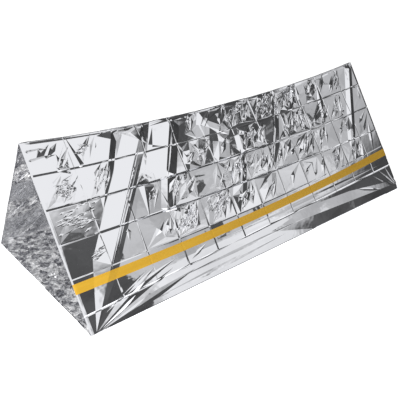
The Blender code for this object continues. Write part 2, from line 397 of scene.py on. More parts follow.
# Tension folds. Each runs from a place to a place, given as distances from the near end and
# down from the ridge. Then come the shares of its way at which it is full and begins to fade,
# its widths towards the near and the far end, and how far its crest stands out. The front wall's
# go roughly from the near end to the far end, and those below the seam come last.
FRONT_FOLDS = (
    ((0.665, 0.00), (0.030, 0.925), (0.10, 0.72), 0.090, 0.046, 0.0108),
    ((0.835, 0.00), (0.660, 0.345), (0.10, 0.88), 0.110, 0.070, 0.0190),
    ((0.478, 0.00), (0.275, 0.40), (0.15, 0.55), 0.070, 0.036, 0.0115),
    ((0.352, 0.17), (0.232, 0.335), (0.50, 0.70), 0.030, 0.026, 0.0036),
    ((0.208, 0.04), (0.128, 0.168), (0.88, 0.92), 0.010, 0.060, 0.0038),
    ((0.222, 0.00), (0.248, 0.172), (0.88, 0.92), 0.010, 0.022, 0.0030),
    ((0.010, 0.095), (0.150, 0.085), (0.10, 0.60), 0.007, 0.007, -0.0010),
    ((0.010, 0.052), (0.120, 0.048), (0.10, 0.60), 0.007, 0.007, -0.0010),
    ((0.020, 0.012), (0.560, 0.014), (0.05, 0.90), 0.007, 0.007, -0.0022),
    ((0.527, 0.330), (0.500, 0.505), (0.06, 0.12), 0.026, 0.062, 0.0125),
    ((0.712, 0.04), (0.665, 0.150), (0.85, 0.90), 0.020, 0.055, 0.0030),
    ((1.630, 0.00), (1.385, 0.490), (0.10, 0.70), 0.115, 0.055, 0.0088),
    ((1.235, 0.00), (1.112, 0.168), (0.75, 0.92), 0.085, 0.072, 0.0072),
    ((1.216, 0.33), (1.045, 0.670), (0.30, 0.75), 0.060, 0.035, 0.0078),
    ((1.035, 0.00), (0.955, 0.168), (0.50, 0.92), 0.075, 0.085, -0.0070),
    ((1.105, 0.17), (1.040, 0.335), (0.30, 0.85), 0.032, 0.080, 0.0100),
    ((0.900, 0.165), (0.835, 0.335), (0.40, 0.80), 0.040, 0.075, 0.0085),
    ((1.250, 0.17), (1.225, 0.335), (0.30, 0.85), 0.030, 0.090, 0.0100),
    ((1.835, 0.00), (1.690, 0.165), (0.50, 0.90), 0.045, 0.030, 0.0070),
    ((2.010, 0.06), (1.945, 0.345), (0.30, 0.60), 0.018, 0.028, 0.0060),
    ((1.935, 0.345), (1.820, 0.470), (0.20, 0.40), 0.012, 0.014, 0.0030),
    ((2.095, 0.01), (2.010, 0.130), (0.30, 0.50), 0.012, 0.018, 0.0040),
    ((2.365, 0.01), (2.070, 0.640), (0.05, 0.70), 0.034, 0.034, 0.0080),
    ((2.180, 0.34), (2.095, 0.560), (0.40, 0.70), 0.020, 0.034, 0.0078),
    ((2.350, 0.42), (2.285, 0.650), (0.40, 0.60), 0.014, 0.018, 0.0040),
    ((0.688, 0.29), (0.598, 0.515), (0.20, 0.92), 0.028, 0.060, 0.0165),
    ((2.180, 0.19), (2.010, 0.325), (0.50, 0.60), 0.014, 0.014, -0.0022),
    ((0.420, 0.76), (0.030, 0.930), (0.50, 0.60), 0.026, 0.026, 0.0035),
    ((0.520, 0.80), (0.035, 0.932), (0.50, 0.60), 0.020, 0.024, -0.0030),
    ((0.640, 0.85), (0.040, 0.933), (0.40, 0.60), 0.018, 0.018, 0.0022),
    ((0.560, 0.760), (0.120, 0.850), (0.50, 0.60), 0.016, 0.016, 0.0024),
    ((0.380, 0.757), (0.100, 0.865), (0.50, 0.60), 0.012, 0.012, -0.0020),
    ((0.760, 0.752), (0.640, 0.800), (0.50, 0.60), 0.012, 0.008, 0.0016),
    ((1.500, 0.850), (0.500, 0.860), (0.40, 0.60), 0.008, 0.008, -0.0005),
    ((1.300, 0.885), (0.300, 0.905), (0.40, 0.60), 0.009, 0.014, 0.0005),
    ((0.900, 0.765), (2.300, 0.735), (0.30, 0.70), 0.012, 0.012, -0.0006),
    ((1.200, 0.842), (2.650, 0.905), (0.24, 0.50), 0.080, 0.060, 0.0072),
    ((1.980, 0.815), (2.240, 0.895), (0.30, 0.60), 0.010, 0.010, 0.0014),
    ((2.200, 0.790), (2.385, 0.925), (0.40, 0.60), 0.010, 0.010, 0.0012),
    ((2.270, 0.770), (2.390, 0.915), (0.40, 0.60), 0.010, 0.010, -0.0012),
    ((2.340, 0.760), (2.393, 0.905), (0.40, 0.60), 0.010, 0.010, 0.0012),
)
BACK_FOLDS = (
    ((0.620, 0.04), (0.050, 0.920), (0.30, 0.70), 0.100, 0.045, 0.014),
    ((0.440, 0.05), (0.160, 0.460), (0.30, 0.70), 0.060, 0.030, 0.009),
    ((1.050, 0.06), (0.880, 0.520), (0.30, 0.70), 0.080, 0.034, 0.011),
    ((1.360, 0.08), (1.560, 0.520), (0.30, 0.70), 0.080, 0.034, 0.010),
    ((1.800, 0.05), (2.360, 0.920), (0.30, 0.70), 0.045, 0.100, 0.014),
    ((2.050, 0.05), (2.260, 0.480), (0.30, 0.70), 0.060, 0.030, -0.009),
)

# Gathers: thin pleats that run beside a long fold, in the strip on its far side. Each row gives
# the fold's number, the first pleat's distance from the crest, and how many there are. Starts
# and ends are shares of the fold's way. A fold's tips keep a trace of width.
GATHERS = ((0, 0.012, 2), (1, 0.014, 2), (11, 0.014, 2))
GATHER_PITCH = 0.018
GATHER_SCATTER = 0.2
GATHER_CREST = 0.0012
GATHER_CREST_SHARES = (0.6, 1.2)
GATHER_WIDTHS = (0.0045, 0.0075)
GATHER_STARTS = (0.04, 0.30)
GATHER_ENDS = (0.60, 0.95)
GATHER_FULL = (0.3, 0.7)
GATHER_DRAWN_IN = 0.7
FOLD_TIP = 1e-6

# How crumpled the front wall is: patches, each a place along and down, a reach and an amount,
# which fades out over the outer third of the reach.
CRUMPLED = (
    (0.165, 0.125, 0.040, 0.9), (0.10, 0.24, 0.06, 0.3), (0.30, 0.09, 0.04, 0.5),
    (0.36, 0.60, 0.06, 0.2), (0.55, 0.02, 0.05, 0.8), (0.56, 0.43, 0.05, 0.5),
    (0.97, 0.08, 0.09, 0.4), (1.17, 0.06, 0.07, 0.7), (1.32, 0.09, 0.09, 0.7),
    (1.48, 0.09, 0.09, 0.8), (1.62, 0.09, 0.07, 0.5), (1.74, 0.08, 0.08, 0.9),
    (0.90, 0.25, 0.08, 0.7), (1.10, 0.25, 0.08, 0.4), (1.31, 0.25, 0.09, 0.8),
    (1.63, 0.25, 0.06, 0.8), (1.74, 0.25, 0.08, 0.8), (0.72, 0.42, 0.09, 0.6),
    (0.95, 0.46, 0.06, 0.6), (1.12, 0.42, 0.09, 0.8), (1.30, 0.42, 0.09, 0.6),
    (1.50, 0.42, 0.09, 0.5), (1.70, 0.42, 0.09, 0.6), (1.88, 0.42, 0.07, 0.3),
    (2.08, 0.42, 0.09, 0.4), (0.70, 0.58, 0.09, 1.0), (0.92, 0.58, 0.09, 0.9),
    (1.12, 0.58, 0.08, 0.6), (1.29, 0.58, 0.09, 0.4), (1.92, 0.56, 0.05, 0.9),
    (2.35, 0.20, 0.05, 0.4), (1.92, 0.08, 0.08, 0.45), (2.11, 0.08, 0.08, 0.35),
    (1.91, 0.25, 0.08, 0.4), (2.11, 0.25, 0.08, 0.4), (2.30, 0.42, 0.06, 0.3),
    (1.50, 0.58, 0.08, 0.35), (1.70, 0.58, 0.08, 0.45), (2.11, 0.58, 0.08, 0.35),
    (0.50, 0.58, 0.08, 0.25), (0.30, 0.25, 0.05, 0.3), (0.08, 0.09, 0.05, 0.3),
)
PATCH_FADE = 3

# Elsewhere each cell has an amount of its own, and there is more on the floor, where people
# kneel.
CELL_AMOUNTS = (0.15, 0.4, 0.7, 1.0)
CELL_ROWS = 20
FLOOR_LEAST = 1.6
FLOOR_SHARE = 0.8

# Ripples: short folds that run nearly along the film, in patches. Each is a place along and
# down, the patch's reach both ways, and how many ripples there are. Their turn is in degrees,
# as a middle and a spread. No small fold comes nearer to the open ends than the end room.
RIPPLES = (
    (0.14, 0.41, 0.09, 0.070, 50), (0.12, 0.26, 0.05, 0.050, 18), (0.17, 0.60, 0.03, 0.060, 10),
    (0.30, 0.08, 0.05, 0.030, 8),
)
RIPPLE_SCATTER = 0.45
RIPPLE_LENGTHS = (0.03, 0.07)
RIPPLE_TURN = (8, 9)
RIPPLE_WIDTHS = (0.004, 0.008)
RIPPLE_SLOPES = (0.10, 0.26)
END_ROOM = 0.01

CREASE_SEED = 5
luck = np.random.default_rng(CREASE_SEED)
cell_amounts = luck.choice(CELL_AMOUNTS, (len(COLUMN_LINES), CELL_ROWS))


def crumpled(along, around):
    """How crumpled the film is at a place: from 0 to 1 on the walls, and more on the floor."""
    column = np.searchsorted(COLUMN_LINES[1:-1], along)
    behind = cell_amounts[column, (around / ROW_PITCH).astype(int) % CELL_ROWS]
    front = np.zeros_like(along)
    for x, down, reach, most in CRUMPLED:
        near = 1 - np.maximum(np.abs(along - x), np.abs(-around - down)) / reach
        front = np.maximum(front, most * np.clip(near * PATCH_FADE, 0, 1))
    behind = np.where(around > SLOPE, FLOOR_LEAST + FLOOR_SHARE * behind, behind)
    return np.where(around < 0, front, behind)


class Pattern:
    """Crease lines and points of the flat sheet, and the triangles between them."""

    # Triangles come out long in the direction in which the film was pulled. Points nearer than
    # SAME are one, and a triangle whose middle is within EDGE of the sheet's edge is left out.
    PULL = math.radians(60)
    STRETCH = 1.8
    SAME = 0.0001
    EDGE = 0.001

    def __init__(self):
        self.places, self.heights, self.joins = [], [], []

    def point(self, along, around, height=0.0):
        self.places.append((along, around))
        self.heights.append(height)
        return len(self.places) - 1

    def line(self, *places):
        marks = [self.point(*place) for place in places]
        self.joins += zip(marks, marks[1:])

    def triangles(self):
        """Places, heights and triangles; a place where creases cross has no height yet."""
        turn = np.array([
            [math.cos(self.PULL), math.sin(self.PULL)],
            [-math.sin(self.PULL) * self.STRETCH, math.cos(self.PULL) * self.STRETCH],
        ])
        skewed = np.array(self.places) @ turn.T
        places, _, faces, source, *_ = delaunay_2d_cdt(
            skewed.tolist(), self.joins, [], 0, self.SAME
        )
        places = np.array([tuple(place) for place in places]) @ np.linalg.inv(turn).T
        heights = [self.heights[marks[0]] if marks else 0.0 for marks in source]
        faces = np.array(faces)
        middles = places[faces].mean(axis=1)
        inside = (middles > (self.EDGE, self.EDGE - SLOPE)).all(axis=1)
        inside &= (middles < (LENGTH - self.EDGE, ROUND_FLOOR - self.EDGE)).all(axis=1)
        return places, np.array(heights), faces[inside]


# Large facets: creases run down each row of the grid, from points on the line above it to
# points on the line below, and lean the way the film is pulled. On the front wall their height
# changes along the film, with little in a calm stretch below the ridge and less below the seam.
FACET_HEIGHT = 0.0045
FRONT_SHARES = ((0.0, 0.10), (0.62, 0.15), (0.85, 0.36), (1.75, 0.40), (2.0, 0.25))
CALM_STRETCH = (0.86, 1.25)
CALM_ABOVE = -0.16
SEAM_BELOW = -0.66
SEAM_SHARE = 0.03
CALM_SHARE = 0.45
BACK_SHARE = 0.45
SIDE_POINTS = (1, 2, 2, 3)
SIDE_SPAN = (0.15, 0.85)


def facet_share(along, around):
    """Share of their full height that the large facets have at a place."""
    front = np.interp(along, *zip(*FRONT_SHARES))
    calm = (around > CALM_ABOVE) & (along > CALM_STRETCH[0]) & (along < CALM_STRETCH[1])
    front *= np.where(calm, CALM_SHARE, 1.0)
    return np.where(around < 0, np.where(around < SEAM_BELOW, SEAM_SHARE, front), BACK_SHARE)


def large_facets():
    """Pattern of the grid's cells and the creases down them, with a height at every point."""
    pattern = Pattern()
    rows = [np.full(len(COLUMN_LINES), -SLOPE), low_crease(np.array(COLUMN_LINES))]
    rows += [np.full(len(COLUMN_LINES), row) for row in (*WALL_ROWS, SLOPE, *FLOOR_ROWS)]
    rows.append(np.full(len(COLUMN_LINES), ROUND_FLOOR))
    nodes = []
    for row in rows:
        chain = []
        for i, (along, around) in enumerate(zip(COLUMN_LINES, row)):
            share = facet_share(along, around)
            chain.append(pattern.point(along, around, luck.uniform(-1, 1) * FACET_HEIGHT * share))
            nodes.append(chain[-1])
            if i + 1 < len(row):
                for between in sorted(luck.uniform(*SIDE_SPAN, luck.choice(SIDE_POINTS))):
                    place = (
                        along + between * (COLUMN_LINES[i + 1] - along),
                        around + between * (row[i + 1] - around),
                    )
                    rise = luck.uniform(-1, 1) * FACET_HEIGHT * facet_share(*place)
                    chain.append(pattern.point(*place, rise))
        pattern.joins.extend(zip(chain, chain[1:]))
    for low, high in zip(nodes, nodes[len(COLUMN_LINES):]):
        pattern.joins.append((low, high))
    return pattern


# Shards: small folds with a sharp crest. They run down each cell and lean the way of the pull,
# side by side in some cells and fanning out from one place in others. Starts, depths and peaks
# are shares of the way down, and a slope is a crest's height against its width.
SHARDS_PER_CELL = 18
SHARD_WIDTHS = (0.006, 0.020)
SHARD_SLOPES = (0.12, 0.34)
SHARD_LEAN = 0.45
SHARD_FANS = (0.10, 0.5)
SHARD_STARTS = (0.0, 0.35)
SHARD_DEPTHS = (0.35, 1.0)
SHARD_PEAKS = (0.25, 0.85)
SHORTEST_SHARD = 0.03


def shards():
    """Seeded small folds of the whole sheet, as places round the tube."""
    made = []
    rows = sorted([*WALL_ROWS, *FLOOR_ROWS, -SLOPE + LOW_CREASE_FAR])
    for left, right in zip(COLUMN_LINES, COLUMN_LINES[1:]):
        for low, high in zip(rows, rows[1:]):
            top, foot = (high, low) if low < 0 else (low, high)
            fan, spread = luck.uniform(left, right), luck.choice(SHARD_FANS)
            for _ in range(SHARDS_PER_CELL):
                x, depth = luck.uniform(left, right), luck.uniform(*SHARD_DEPTHS)
                start_x = x + spread * (fan - x) + SHARD_LEAN * abs(top - foot)
                start = start_x, top + (foot - top) * luck.uniform(*SHARD_STARTS)
                end = x, start[1] + (foot - start[1]) * depth
                peak = luck.uniform(*SHARD_PEAKS)
                widths = luck.uniform(*SHARD_WIDTHS, 2)
                crest = luck.choice((-1, 1)) * luck.uniform(*SHARD_SLOPES) * widths.min()
                amount = crumpled(np.array([x]), np.array([(start[1] + end[1]) / 2]))[0]
                on_sheet = END_ROOM < min(x, start_x) and max(x, start_x) < LENGTH - END_ROOM
                long_enough = abs(end[1] - start[1]) > SHORTEST_SHARD
                if luck.random() < amount and on_sheet and long_enough:
                    made.append((start, end, (peak, peak), *widths, crest))
    return made


def ripples():
    """Seeded ripples of the front wall."""
    made = []
    for x, down, reach_along, reach_down, count in RIPPLES:
        for _ in range(count):
            spread = luck.normal(0, RIPPLE_SCATTER, 2) * (reach_along, reach_down)
            length, angle = luck.uniform(*RIPPLE_LENGTHS), math.radians(luck.normal(*RIPPLE_TURN))
            half = np.array([math.cos(angle), math.sin(angle)]) * length / 2
            middle = np.array([x, -down]) + spread
            start, end = tuple(middle - half), tuple(middle + half)
            widths = luck.uniform(*RIPPLE_WIDTHS, 2)
            if start[0] > END_ROOM and end[0] < LENGTH - END_ROOM:
                crest = luck.uniform(*RIPPLE_SLOPES) * widths.min()
                made.append((start, end, (0.5, 0.5), *widths, crest))
    return made


def fold_frame(start, end):
    """A fold's length, its direction, and the direction across it towards the far end."""
    run = np.subtract(end, start)
    length = np.hypot(*run)
    run = run / length
    across = np.array([run[1], -run[0]])
    return length, run, across if across[0] > 0 else -across


def gathers():
    """Seeded thin pleats in the strips beside the long folds of the front wall."""
    made = []
    for number, first, count in GATHERS:
        start, end, *_ = FRONT_FOLDS[number]
        *_, across = fold_frame(start, end)
        for step in range(count):
            shift = luck.uniform(-GATHER_SCATTER, GATHER_SCATTER)
            aside = across * (first + GATHER_PITCH * (step + shift))
            from_share, to_share = luck.uniform(*GATHER_STARTS), luck.uniform(*GATHER_ENDS)
            foot = np.subtract(end, start) * to_share + start + aside * GATHER_DRAWN_IN
            top = np.subtract(end, start) * from_share + start + aside
            side = 1 if step % 2 else -1
            crest = side * luck.uniform(*GATHER_CREST_SHARES) * GATHER_CREST
            widths = luck.uniform(*GATHER_WIDTHS, 2)
            made.append(((top[0], -top[1]), (foot[0], -foot[1]), GATHER_FULL, *widths, crest))
    return made


def fold_relief(places, folds):
    """Height of the folds at places of the sheet, each a crest between flat flanks."""
    height = np.zeros(len(places))
    for start, end, (full, fading), near_width, far_width, crest in folds:
        length, run, across = fold_frame(start, end)
        way = (places - start) @ run / length
        off = (places - start) @ across
        size = np.clip(np.minimum(way / full, (1 - way) / (1 - fading)), 0, 1)
        reach = np.where(off > 0, far_width, near_width) * np.maximum(size, FOLD_TIP)
        height += crest * size * np.clip(1 - np.abs(off) / reach, 0, 1)
    return height


def fold_creases(pattern, folds):
    """Adds each fold's crest and the edges of its flanks to the pattern."""
    for start, end, (full, fading), near_width, far_width, _ in folds:
        length, run, across = fold_frame(start, end)
        peak, last = start + run * length * full, start + run * length * fading
        pattern.line(start, peak, last, end)
        for width in (far_width, -near_width):
            pattern.line(start, peak + across * width, last + across * width, end)
            pattern.line(peak, peak + across * width)
            pattern.line(last, last + across * width)


facets = large_facets()
small_folds = shards()
large_folds = [
    ((x0, side * d0), (x1, side * d1), *rest)
    for side, folds in ((-1, FRONT_FOLDS), (1, BACK_FOLDS))
    for (x0, d0), (x1, d1), *rest in folds
]
all_folds = large_folds + gathers() + ripples() + small_folds

creases = Pattern()
creases.places = list(facets.places)
creases.heights = list(facets.heights)
creases.joins = list(facets.joins)
fold_creases(creases, all_folds)

# A narrow valley runs along every line of the grid. Down the columns it is shallower, most of
# all near the near end, in the two rows below the ridge.
VALLEY_DEPTH = 0.0015
VALLEY_REACH = 0.0050
VALLEY_STRETCH = 0.200
COLUMN_DEPTH = 0.6
FAINT_COLUMN_DEPTH = 0.2
FAINT_UNTIL = 0.7
for aside in (-VALLEY_REACH, VALLEY_REACH):
    for row in (*WALL_ROWS, *FLOOR_ROWS):
        creases.line((0.0, row + aside), (LENGTH, row + aside))
    creases.line((0.0, low_crease(0.0) + aside), (LENGTH, low_crease(LENGTH) + aside))
    for column in COLUMN_LINES[1:-1]:
        creases.line((column + aside, low_crease(column)), (column + aside, ROUND_FLOOR))

# The two rows above the seam hang outward below their upper crease and lean in towards their
# lower one. The share of the lean changes along the film.
LEAN = 0.050
LEAN_START = 0.008
LEAN_ROWS = (2, 3)
LEAN_SHARES = (
    (0.0, 0.0), (0.15, 0.15), (0.40, 1.0), (0.9, 1.05), (1.35, 1.2), (1.6, 0.3), (LENGTH, 0.0)
)
for row in LEAN_ROWS:
    start = -row * ROW_PITCH - LEAN_START
    creases.line((0.0, start), (LENGTH, start))


def lean(places):
    """How far out the leaning rows of the front wall stand."""
    along, around = places.T
    share = np.interp(along, *zip(*LEAN_SHARES))
    out = np.zeros_like(along)
    for row in LEAN_ROWS:
        below = -around - row * ROW_PITCH
        shape = np.minimum(below / LEAN_START, (ROW_PITCH - below) / (ROW_PITCH - LEAN_START))
        out = np.maximum(out, shape)
    return LEAN * ROW_PITCH * share * out


# Lines where the film bends: over the ridge, at both pack creases, round both hems, and along
# the open ends, whose cut edges curl inward a little and flutter on the floor. Each bend has a
# middle and its lines' distances from it.
CREASE_STEPS = (-0.016, -0.008, 0.0, 0.008, 0.016)
BEND_LINES = (
    (0.0, (-0.030, -0.018, -0.008, -0.004, 0.0, 0.004, 0.008, 0.018, 0.030)),
    (-SLOPE + FRONT_CREASE_UP, CREASE_STEPS),
    (SLOPE - BACK_CREASE_UP, CREASE_STEPS),
    (SLOPE, (-0.012, -0.008, -0.004, 0.0, 0.004, 0.008, 0.012)),
    (-SLOPE, (0.0, 0.004, 0.008)),
    (ROUND_FLOOR, (-0.008, -0.004, 0.0)),
)
CURL = 0.003
CURL_REACH = 0.016
FLUTTER = 0.003
FLUTTER_WAVES = (95, 31)
FLUTTER_SHIFT = 2
for middle, steps in BEND_LINES:
    for step in steps:
        creases.line((0.0, middle + step), (LENGTH, middle + step))
for inside in (0.0, CURL_REACH / 2, CURL_REACH):
    for x in (inside, LENGTH - inside):
        creases.line((x, -SLOPE), (x, ROUND_FLOOR))
for above in (
    -LAP_WIDTH / 2, -TAPE_WIDTH / 2, 0.0, TAPE_WIDTH / 2, LAP_WIDTH / 2, LAP_WIDTH / 2 + LAP_STEP
):
    creases.line(*zip(seam_along, tape_middle + above))

# Crinkle: points of fine crumpling, close together across the direction of pull, where the film
# is crumpled by more than a least amount. They are laid out on a square field that covers the
# sheet whichever way it is turned.
CRINKLE_HEIGHT = 0.0018
CRINKLE_LONG = 0.032
CRINKLE_SHORT = 0.015
CRINKLE_SCATTER = 0.4
CRINKLE_FROM = 0.42
CRINKLE_FIELD = 3.4
CRINKLE_ROOM = 0.006
spots = np.stack(np.meshgrid(
    np.arange(-CRINKLE_FIELD, CRINKLE_FIELD, CRINKLE_LONG),
    np.arange(-CRINKLE_FIELD, CRINKLE_FIELD, CRINKLE_SHORT),
), axis=-1).reshape(-1, 2)
scatter = luck.uniform(-CRINKLE_SCATTER, CRINKLE_SCATTER, spots.shape)
spots += scatter * (CRINKLE_LONG, CRINKLE_SHORT)
pull = np.array([math.cos(Pattern.PULL), math.sin(Pattern.PULL)])
spots = spots[:, :1] * pull + spots[:, 1:] * (-pull[1], pull[0])
inside = (spots > (CRINKLE_ROOM, CRINKLE_ROOM - SLOPE)).all(axis=1)
inside &= (spots < (LENGTH - CRINKLE_ROOM, ROUND_FLOOR - CRINKLE_ROOM)).all(axis=1)
spots = spots[inside]
spots = spots[luck.uniform(CRINKLE_FROM, 1.0, len(spots)) < crumpled(*spots.T)]
for spot in spots:
    creases.point(*spot)

places, _, triangles = creases.triangles()
along_middle, around_middle = places[triangles].mean(axis=1).T


def near_lines(values, lines):
    """1 on a line of the grid, falling to 0 at the sides of its valley."""
    away = np.min(np.abs(values[:, None] - np.array(lines)), axis=1)
    return np.clip(1 - away / VALLEY_REACH, 0, 1)


# What every point of the pattern carries into the crumple. The hems hold the film nearly
# straight, and the ridge holds it in part.
HEM_REACH = 0.03
HEM_LEAST = 0.04
RIDGE_REACH = 0.04
RIDGE_LEAST = 0.4
along, around = places.T
from_hem = np.minimum(np.abs(np.abs(around) - SLOPE), np.abs(around - ROUND_FLOOR))
from_ridge = np.abs(around)
from_end = np.minimum(along, LENGTH - along)
on_columns = near_lines(along, COLUMN_LINES[1:-1]) * (around > low_crease(along))
faint = (along < FAINT_UNTIL) & (np.abs(around + ROW_PITCH) < ROW_PITCH)
on_columns *= np.where(faint, FAINT_COLUMN_DEPTH, COLUMN_DEPTH)
on_low_crease = np.clip(1 - np.abs(around - low_crease(along)) / VALLEY_REACH, 0, 1)
on_rows = near_lines(around, (*WALL_ROWS[1:], *FLOOR_ROWS))
wave, slow_wave = (waves * around for waves in FLUTTER_WAVES)
flutter = FLUTTER * (1 + np.sin(wave) * np.cos(slow_wave + FLUTTER_SHIFT))
held_by_hem = np.clip(from_hem / HEM_REACH, HEM_LEAST, 1)
held_by_ridge = np.minimum(RIDGE_LEAST + from_ridge / RIDGE_REACH, 1)
point_fields = {
    "hold": held_by_hem * held_by_ridge,
    "relief": fold_relief(places, all_folds) + lean(places),
    "curl": np.where(around < SLOPE, CURL, flutter) * np.clip(1 - from_end / CURL_REACH, 0, 1) ** 2,
    "valley": np.maximum(np.maximum(on_rows, on_columns), on_low_crease),
    "crumple": crumpled(along, around),
    "grounded": np.clip((around - SLOPE) / HEM_REACH, 0, 1),
}

# The large facets as a flat sheet with its heights, for the crumple to read.
facet_places, facet_heights, facet_faces = facets.triangles()
facet_mesh = bpy.data.meshes.new("large_facets")
facet_mesh.from_pydata(
    np.column_stack([facet_places, facet_heights]).tolist(), [], facet_faces.tolist()
)
facet_sheet = place_in_scene("large_facets", facet_mesh)


def crumple_tree():
    """Geometry Nodes tree that moves a film panel's points out or in, to crumple it."""
    tree = bpy.data.node_groups.new("crumpled_film", "GeometryNodeTree")
    tree.is_modifier = True
    for name, kind in (
        ("Geometry", "NodeSocketGeometry"), ("Large Facets", "NodeSocketObject"),
        ("Crinkle Height", "NodeSocketFloat"), ("Valley Depth", "NodeSocketFloat"),
        ("Seed", "NodeSocketInt"), ("Film", "NodeSocketMaterial"),
    ):
        tree.interface.new_socket(name, in_out="INPUT", socket_type=kind)
    tree.interface.new_socket("Geometry", in_out="OUTPUT", socket_type="NodeSocketGeometry")
    asked = add_node(tree, "NodeGroupInput").outputs
    fields = {}
    for name, kind in (
        ("sheet_place", "FLOAT_VECTOR"), ("out", "FLOAT_VECTOR"), ("number", "INT"),
        ("hold", "FLOAT"), ("relief", "FLOAT"), ("valley", "FLOAT"), ("crumple", "FLOAT"),
        ("grounded", "FLOAT"), ("curl", "FLOAT"), ("lift", "FLOAT"),
    ):
        read = add_node(tree, "GeometryNodeInputNamedAttribute", {"Name": name}, data_type=kind)
        fields[name] = read.outputs["Attribute"]

    # Height of the large facets at this place.
    sheet = add_node(tree, "GeometryNodeObjectInfo", {"Object": asked["Large Facets"]})
    above = add_node(
        tree, "ShaderNodeVectorMath", {0: fields["sheet_place"], 1: (0.0, 0.0, 1.0)},
        operation="ADD",
    )
    hit = add_node(
        tree, "GeometryNodeRaycast",
        {"Target Geometry": sheet.outputs["Geometry"], "Source Position": above.outputs[0],
         "Ray Direction": (0.0, 0.0, -1.0), "Ray Length": 2.0},
    )
    large = add_node(tree, "ShaderNodeSeparateXYZ", {0: hit.outputs["Hit Position"]})

    # Fine crinkle: each point moves by chance, more where the film is more crumpled.
    least = add_node(
        tree, "ShaderNodeMath", {0: asked["Crinkle Height"], 1: -1.0}, operation="MULTIPLY"
    )
    chance = add_node(
        tree, "FunctionNodeRandomValue",
        {2: least.outputs[0], 3: asked["Crinkle Height"], "ID": fields["number"],
         "Seed": asked["Seed"]}, data_type="FLOAT",
    )
    crinkle = add_node(
        tree, "ShaderNodeMath",
        {0: chance.outputs[1], 1: fields["crumple"], 2: large.outputs[2]},
        operation="MULTIPLY_ADD",
    )

    # Valleys of the grid, deep in some stretches and gone in others.
    stretches = add_node(
        tree, "ShaderNodeTexNoise",
        {"Vector": fields["sheet_place"], "Scale": 1 / VALLEY_STRETCH, "Detail": 1.0},
    )
    depth = add_node(
        tree, "ShaderNodeMapRange",
        {"Value": stretches.outputs[0], "From Min": 0.30, "From Max": 0.50, "To Min": 0.0,
         "To Max": asked["Valley Depth"]},
    )
    valley = add_node(
        tree, "ShaderNodeMath", {0: fields["valley"], 1: depth.outputs[0]}, operation="MULTIPLY"
    )
    height = add_node(
        tree, "ShaderNodeMath", {0: crinkle.outputs[0], 1: valley.outputs[0]},
        operation="SUBTRACT",
    )
    height = add_node(
        tree, "ShaderNodeMath", {0: height.outputs[0], 1: fields["relief"]}, operation="ADD"
    )

    # The floor film only rises off the ground, and the hems hold the film straight.
    size = add_node(tree, "ShaderNodeMath", {0: height.outputs[0]}, operation="ABSOLUTE")
    inward = add_node(tree, "ShaderNodeMath", {0: size.outputs[0], 1: -1.0}, operation="MULTIPLY")
    height = add_node(
        tree, "ShaderNodeMix",
        {"Factor": fields["grounded"], 2: height.outputs[0], 3: inward.outputs[0]},
        data_type="FLOAT",
    )
    held = add_node(
        tree, "ShaderNodeMath",
        {0: height.outputs[0], 1: fields["hold"], 2: fields["lift"]}, operation="MULTIPLY_ADD",
    )
    curled = add_node(
        tree, "ShaderNodeMath", {0: held.outputs[0], 1: fields["curl"]}, operation="SUBTRACT"
    )
    offset = add_node(
        tree, "ShaderNodeVectorMath", {0: fields["out"], "Scale": curled.outputs[0]},
        operation="SCALE",
    )
    moved = add_node(
        tree, "GeometryNodeSetPosition",
        {"Geometry": asked["Geometry"], "Offset": offset.outputs[0]},
    )
    whole = add_node(tree, "GeometryNodeRealizeInstances", {0: moved.outputs[0]})
    coated = add_node(
        tree, "GeometryNodeSetMaterial", {"Geometry": whole.outputs[0], "Material": asked["Film"]}
    )
    add_node(tree, "NodeGroupOutput", {0: coated.outputs[0]})
    return tree


# Sizes of the film's patterns. Handling leaves clouds of haze, and dimples soften what the
# facets mirror. The real crinkle is a few millimetres across, which is too fine to show, so it
# is drawn 11 mm across on the bright side and 17 mm on the milky one. There the base colour
# also holds painted highlights and painted shade, in patches.
HAZE_CLOUD = 0.1111
DIMPLE = 0.040
BRIGHT_CRINKLE = 0.01111
MILKY_CRINKLE = 0.01667
PAINTED_LIGHT_PATCH = 0.03846


def hazy_roughness(tree, place, clearest, haziest):
    """Roughness of the film at a place, between its clearest and its haziest spots."""
    haze = add_node(
        tree, "ShaderNodeTexNoise", {"Vector": place, "Scale": 1 / HAZE_CLOUD, "Detail": 4.0}
    )
    dulled = add_node(
        tree, "ShaderNodeMapRange",
        {"Value": haze.outputs[0], "From Min": 0.35, "From Max": 0.7, "To Min": clearest,
         "To Max": haziest},
    )
    return dulled.outputs[0]


def crinkled(tree, place, cell, strength, depth):
    """Normal of the film at a place, broken up by cells of fine crinkle."""
    cells = add_node(
        tree, "ShaderNodeTexVoronoi", {"Vector": place, "Scale": 1 / cell},
        feature="DISTANCE_TO_EDGE",
    )
    bump = add_node(
        tree, "ShaderNodeBump",
        {"Height": cells.outputs[0], "Strength": strength, "Distance": depth},
    )
    return bump.outputs[0]


